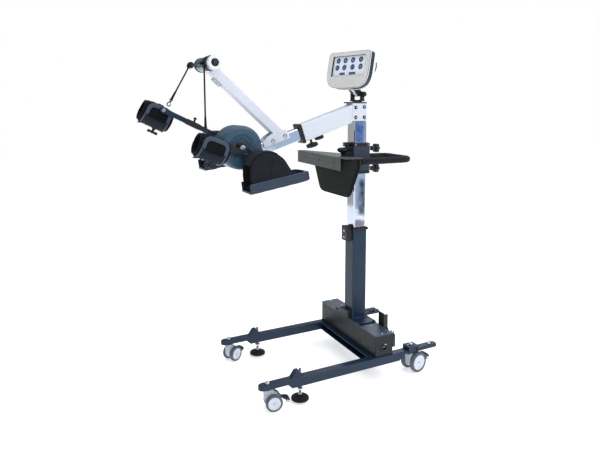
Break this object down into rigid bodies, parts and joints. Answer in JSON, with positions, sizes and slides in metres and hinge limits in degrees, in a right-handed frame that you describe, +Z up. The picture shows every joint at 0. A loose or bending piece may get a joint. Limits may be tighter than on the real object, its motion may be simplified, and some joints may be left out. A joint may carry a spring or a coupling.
{
  "type": "bedside leg rehabilitation machine",
  "caption": "Wheeled bedside leg trainer: telescopic column, sloping arm with motor drum and crank, boom with ropes, padded calf cuffs and foot boots, tilting console, shelf and push handle.",
  "frame": {"origin": "on the floor, under the middle of the bounding box", "axes": "-X points to the legs' side (front), +Y to the far side of the picture, +Z up"},
  "size_m": [1.37, 0.7252, 1.5714],
  "materials": {
    "blue_paint": "satin blue-grey powder coat",
    "cover_grey": "satin grey powder coat",
    "box_paint": "satin black powder coat",
    "white_paint": "gloss cool white powder coat",
    "chrome": "polished",
    "steel": "brushed",
    "black_plastic": "matt",
    "black_metal": "satin black",
    "black_cloth": "padded woven",
    "sole_plastic": "matt blue-grey",
    "shelf_paint": "satin grey-green",
    "guard_foam": "covered foam",
    "caster_plastic": "satin light grey",
    "hood_plastic": "satin light grey",
    "bezel_plastic": "satin",
    "screen_glass": "gloss",
    "grip_foam": "soft foam",
    "rope_cord": "braided",
    "drum_plastic": "satin"
  },
  "bodies": {
    "base": {"rail_near": "blue_paint", "rail_far": "blue_paint", "cross_channel": "blue_paint", "base_box": "box_paint", "box_lid": "cover_grey", "outer_column": "blue_paint", "column_ring": "black_plastic", "lift_actuator": "steel", "control_unit": "black_plastic", "rear_bracket": "black_metal"},
    "foot_near": {"leveling_foot_near": "black_plastic"},
    "foot_far": {"leveling_foot_far": "black_plastic"},
    "swivel_front_near": {"caster_hood_front_near": "hood_plastic"},
    "wheels_at_front_near": {"caster_wheels_front_near": "caster_plastic"},
    "pedal_at_front_near": {"brake_pedal_front_near": "black_plastic"},
    "swivel_front_far": {"caster_hood_front_far": "hood_plastic"},
    "wheels_at_front_far": {"caster_wheels_front_far": "caster_plastic"},
    "pedal_at_front_far": {"brake_pedal_front_far": "black_plastic"},
    "swivel_rear_near": {"caster_hood_rear_near": "hood_plastic"},
    "wheels_at_rear_near": {"caster_wheels_rear_near": "caster_plastic"},
    "pedal_at_rear_near": {"brake_pedal_rear_near": "black_plastic"},
    "swivel_rear_far": {"caster_hood_rear_far": "hood_plastic"},
    "wheels_at_rear_far": {"caster_wheels_rear_far": "caster_plastic"},
    "pedal_at_rear_far": {"brake_pedal_rear_far": "black_plastic"},
    "lift": {"inner_column": "chrome", "actuator_rod": "chrome", "arm_bracket": "white_paint", "outer_arm": "white_paint", "arm_end_ring": "black_plastic"},
    "arm_knob_rear": {"arm_knob_rear": "black_plastic"},
    "arm_knob_front": {"arm_knob_front": "black_plastic"},
    "arm_inner": {"inner_arm": "chrome", "boom": "white_paint", "hub": "chrome", "rope_near": "rope_cord", "rope_far": "rope_cord", "drum_housing": "drum_plastic", "drive_motor": "steel"},
    "crank": {"crankset": "black_metal"},
    "leg_near": {"leg_bar_near": "blue_paint", "foot_shell_near": "sole_plastic", "boot_near": "black_cloth"},
    "cuff_near": {"cuff_shell_near": "sole_plastic", "cuff_pad_near": "black_cloth"},
    "leg_far": {"leg_bar_far": "blue_paint", "foot_shell_far": "sole_plastic", "boot_far": "black_cloth"},
    "cuff_far": {"cuff_shell_far": "sole_plastic", "cuff_pad_far": "black_cloth"},
    "collar": {"collar": "black_metal", "collar_shelf": "shelf_paint", "guard_pad": "guard_foam", "push_handle": "grip_foam"},
    "collar_knob_upper": {"collar_knob_upper": "black_plastic"},
    "collar_knob_lower": {"collar_knob_lower": "black_plastic"},
    "shelf_knob": {"shelf_knob": "black_plastic"},
    "console_yaw": {"console_bracket": "black_metal"},
    "console": {"console_rear": "white_paint", "console_bezel": "bezel_plastic", "console_screen": "screen_glass"}
  },
  "joints": [
    {"name": "foot_near_screw", "type": "slide", "parent": "base", "child": "foot_near", "axis": [0, 0, 1], "range_m": [-0.008, 0.012]},
    {"name": "foot_far_screw", "type": "slide", "parent": "base", "child": "foot_far", "axis": [0, 0, 1], "range_m": [-0.008, 0.012]},
    {"name": "caster_swivel_front_near", "type": "hinge", "parent": "base", "child": "swivel_front_near", "pos_m": [-0.243, -0.3175, 0.09], "axis": [0, 0, 1], "continuous": true},
    {"name": "caster_roll_front_near", "type": "hinge", "parent": "swivel_front_near", "child": "wheels_at_front_near", "pos_m": [-0.21851, -0.32253, 0.0375], "axis": [0.2011, 0.9796, 0], "continuous": true},
    {"name": "brake_pedal_hinge_front_near", "type": "hinge", "parent": "swivel_front_near", "child": "pedal_at_front_near", "pos_m": [-0.195, -0.32735, 0.057], "axis": [0.2011, 0.9796, 0], "range_deg": [0, 12]},
    {"name": "caster_swivel_front_far", "type": "hinge", "parent": "base", "child": "swivel_front_far", "pos_m": [-0.243, 0.1825, 0.09], "axis": [0, 0, 1], "continuous": true},
    {"name": "caster_roll_front_far", "type": "hinge", "parent": "swivel_front_far", "child": "wheels_at_front_far", "pos_m": [-0.22061, 0.19362, 0.0375], "axis": [-0.4446, 0.8957, 0], "continuous": true},
    {"name": "brake_pedal_hinge_front_far", "type": "hinge", "parent": "swivel_front_far", "child": "pedal_at_front_far", "pos_m": [-0.19911, 0.20429, 0.057], "axis": [-0.4446, 0.8957, 0], "range_deg": [0, 12]},
    {"name": "caster_swivel_rear_near", "type": "hinge", "parent": "base", "child": "swivel_rear_near", "pos_m": [0.528, -0.3175, 0.09], "axis": [0, 0, 1], "continuous": true},
    {"name": "caster_roll_rear_near", "type": "hinge", "parent": "swivel_rear_near", "child": "wheels_at_rear_near", "pos_m": [0.54973, -0.31406, 0.05], "axis": [-0.1564, 0.9877, 0], "continuous": true},
    {"name": "brake_pedal_hinge_rear_near", "type": "hinge", "parent": "swivel_rear_near", "child": "pedal_at_rear_near", "pos_m": [0.58134, -0.30905, 0.076], "axis": [-0.1564, 0.9877, 0], "range_deg": [0, 12]},
    {"name": "caster_swivel_rear_far", "type": "hinge", "parent": "base", "child": "swivel_rear_far", "pos_m": [0.528, 0.1825, 0.09], "axis": [0, 0, 1], "continuous": true},
    {"name": "caster_roll_rear_far", "type": "hinge", "parent": "swivel_rear_far", "child": "wheels_at_rear_far", "pos_m": [0.55, 0.1825, 0.05], "axis": [0, 1, 0], "continuous": true},
    {"name": "brake_pedal_hinge_rear_far", "type": "hinge", "parent": "swivel_rear_far", "child": "pedal_at_rear_far", "pos_m": [0.582, 0.1825, 0.076], "axis": [0, 1, 0], "range_deg": [0, 12]},
    {"name": "column_lift", "type": "slide", "parent": "base", "child": "lift", "axis": [0, 0, 1], "range_m": [-0.18, 0.1]},
    {"name": "arm_extension", "type": "slide", "parent": "lift", "child": "arm_inner", "axis": [-0.9483, 0, -0.3173], "range_m": [-0.045, 0.15]},
    {"name": "arm_knob_rear_turn", "type": "hinge", "parent": "lift", "child": "arm_knob_rear", "pos_m": [0.14655, -0.0675, 1.1484], "axis": [-0.3173, 0, 0.9483], "continuous": true},
    {"name": "arm_knob_front_turn", "type": "hinge", "parent": "lift", "child": "arm_knob_front", "pos_m": [0.10896, -0.0675, 1.11262], "axis": [-0.3173, 0, 0.9483], "continuous": true},
    {"name": "crank_spin", "type": "hinge", "parent": "arm_inner", "child": "crank", "pos_m": [-0.275, -0.0675, 1.124], "axis": [0, 1, 0], "continuous": true, "deforming": ["rope_near", "rope_far"]},
    {"name": "leg_near_pin", "type": "hinge", "parent": "crank", "child": "leg_near", "pos_m": [-0.2135, -0.0675, 1.0793], "axis": [0, 1, 0], "continuous": true},
    {"name": "cuff_near_pin", "type": "hinge", "parent": "leg_near", "child": "cuff_near", "pos_m": [-0.42402, -0.0675, 1.16011], "axis": [0, 1, 0], "range_deg": [-18, 18]},
    {"name": "leg_far_pin", "type": "hinge", "parent": "crank", "child": "leg_far", "pos_m": [-0.3365, -0.0675, 1.1687], "axis": [0, 1, 0], "continuous": true},
    {"name": "cuff_far_pin", "type": "hinge", "parent": "leg_far", "child": "cuff_far", "pos_m": [-0.58295, -0.0675, 1.28981], "axis": [0, 1, 0], "range_deg": [-18, 18]},
    {"name": "collar_height", "type": "slide", "parent": "lift", "child": "collar", "axis": [0, 0, 1], "range_m": [-0.08, 0.05]},
    {"name": "collar_knob_upper_turn", "type": "hinge", "parent": "collar", "child": "collar_knob_upper", "pos_m": [0.445, -0.0875, 1.096], "axis": [1, 0, 0], "continuous": true},
    {"name": "collar_knob_lower_turn", "type": "hinge", "parent": "collar", "child": "collar_knob_lower", "pos_m": [0.445, -0.0875, 0.994], "axis": [1, 0, 0], "continuous": true},
    {"name": "shelf_knob_turn", "type": "hinge", "parent": "collar", "child": "shelf_knob", "pos_m": [0.28, -0.0675, 1.08], "axis": [0, 0, 1], "continuous": true},
    {"name": "console_swivel", "type": "hinge", "parent": "lift", "child": "console_yaw", "pos_m": [0.36, -0.0675, 1.33], "axis": [0, 0, 1], "range_deg": [-60, 60]},
    {"name": "console_tilt", "type": "hinge", "parent": "console_yaw", "child": "console", "pos_m": [0.36, -0.0675, 1.3655], "axis": [0.2588, -0.9659, 0], "range_deg": [-35, 20]}
  ],
  "couplings": [
    {"joint": "leg_near_pin", "follows": "crank_spin", "ratio": -1},
    {"joint": "leg_far_pin", "follows": "crank_spin", "ratio": -1}
  ]
}
